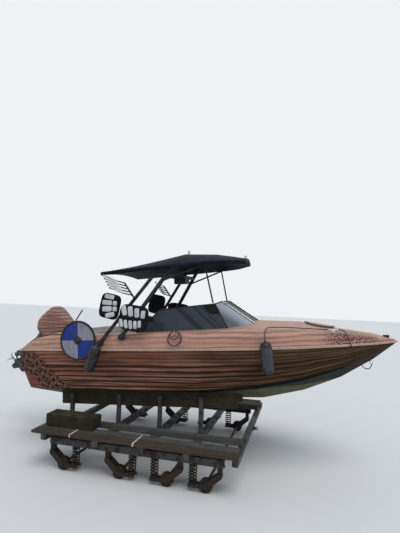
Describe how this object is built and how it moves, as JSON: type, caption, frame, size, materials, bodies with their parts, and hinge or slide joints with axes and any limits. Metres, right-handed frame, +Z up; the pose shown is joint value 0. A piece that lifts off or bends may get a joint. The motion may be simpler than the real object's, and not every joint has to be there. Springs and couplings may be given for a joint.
{
  "type": "open speedboat with outboard on a slipway carriage",
  "caption": "Wood-look open speedboat with tower roof, outboard, shields and fenders, resting on a steel and timber slipway carriage with rail axles.",
  "frame": {"origin": "centre of the bounding box at floor level, under the wheels", "axes": "+X towards the bow, +Y to port, +Z up"},
  "size_m": [8.4276, 3.7, 4.1632],
  "materials": {
    "hull_wood": "satin wood-look wrap with lapped planks",
    "deck_wood": "satin pinkish wood-look wrap",
    "rail_trim": "satin",
    "liner": "satin gelcoat",
    "dash_black": "matt",
    "seat_vinyl": "stitched vinyl",
    "dark_glass": "tinted",
    "tower_black": "satin black",
    "roof_black": "satin black",
    "steel": "polished",
    "lamp_white": "gloss",
    "shield_paint": "painted planks, blue and silver",
    "fender_black": "matt vinyl",
    "fender_navy": "matt vinyl",
    "rope_black": "braided",
    "vest_foam": "foam under woven cover",
    "cowling_wood": "wood-look wrap",
    "engine_metal": "satin",
    "propeller_metal": "brushed",
    "old_timber": "dark, mossy and weathered",
    "grey_timber": "grey, weathered",
    "weathered_steel": "dull, rusty",
    "spring_steel": "dull",
    "iron": "dull, rusty",
    "hatch_dark": "smoked with orange-brown"
  },
  "bodies": {
    "root": {"hull": "hull_wood", "deck": "deck_wood", "rub_rail": "rail_trim", "sole": "liner", "dash": "dash_black", "seats": "seat_vinyl", "seat_posts": "steel", "stern_bench": "seat_vinyl", "side_glass": "dark_glass", "corner_glass": "dark_glass", "front_glass": "dark_glass", "windshield_frame": "steel", "roof": "roof_black", "tower": "tower_black", "front_struts": "tower_black", "roof_box": "tower_black", "roof_lamps": "lamp_white", "shields": "shield_paint", "stern_pole": "tower_black", "cleats": "steel", "bow_light": "dash_black", "bow_eye": "steel", "fender_aft": "fender_black", "fender_fore": "fender_navy", "fender_line_fore": "rope_black", "bow_line": "rope_black", "fender_line_aft": "rope_black", "rope_coil": "rope_black", "vest_fore": "vest_foam", "vest_aft": "vest_foam", "vest_straps": "rope_black", "board_racks": "tower_black", "clamp_bracket": "engine_metal", "bunks": "old_timber", "bunk_posts": "weathered_steel", "channels": "weathered_steel", "cross_members": "weathered_steel", "long_beams": "grey_timber", "walkway": "grey_timber", "arms": "iron", "hangers": "iron", "springs": "spring_steel", "step_block": "old_timber", "hatch_hinges": "steel", "tow_lug": "weathered_steel"},
    "hatch": {"hatch_lid": "hatch_dark"},
    "helm": {"helm_wheel": "dash_black"},
    "swivel": {"swivel_bracket": "engine_metal"},
    "outboard": {"engine_leg": "engine_metal", "cowling": "cowling_wood"},
    "propeller": {"propeller": "propeller_metal"},
    "axle_1": {"axle_1": "iron"},
    "axle_2": {"axle_2": "iron"},
    "axle_3": {"axle_3": "iron"},
    "axle_4": {"axle_4": "iron"}
  },
  "joints": [
    {"name": "outboard_tilt", "type": "hinge", "parent": "root", "child": "swivel", "pos_m": [-3.13424, 0, 1.79228], "axis": [0, 1, 0], "range_deg": [-50, 18]},
    {"name": "outboard_steer", "type": "hinge", "parent": "swivel", "child": "outboard", "pos_m": [-3.37189, 0, 1.75046], "axis": [0.7193, 0, 0.6947], "range_deg": [-30, 30]},
    {"name": "propeller_spin", "type": "hinge", "parent": "outboard", "child": "propeller", "pos_m": [-4.14809, 0, 1.64732], "axis": [0.6947, 0, -0.7193], "continuous": true},
    {"name": "helm_turn", "type": "hinge", "parent": "root", "child": "helm", "pos_m": [0.78417, -0.48, 2.38205], "axis": [-0.9336, 0, 0.3584], "range_deg": [-540, 540]},
    {"name": "hatch_lift", "type": "hinge", "parent": "root", "child": "hatch", "pos_m": [3.09498, 0, 2.70905], "axis": [0, 1, 0], "range_deg": [0, 75]},
    {"name": "axle_1_roll", "type": "hinge", "parent": "root", "child": "axle_1", "pos_m": [-1.62008, 0, 0.112], "axis": [0, 1, 0], "continuous": true},
    {"name": "axle_2_roll", "type": "hinge", "parent": "root", "child": "axle_2", "pos_m": [-0.53008, 0, 0.112], "axis": [0, 1, 0], "continuous": true},
    {"name": "axle_3_roll", "type": "hinge", "parent": "root", "child": "axle_3", "pos_m": [0.33992, 0, 0.112], "axis": [0, 1, 0], "continuous": true},
    {"name": "axle_4_roll", "type": "hinge", "parent": "root", "child": "axle_4", "pos_m": [1.01992, 0, 0.112], "axis": [0, 1, 0], "continuous": true}
  ],
  "couplings": [
    {"joint": "helm_turn", "follows": "outboard_steer", "ratio": 18}
  ]
}
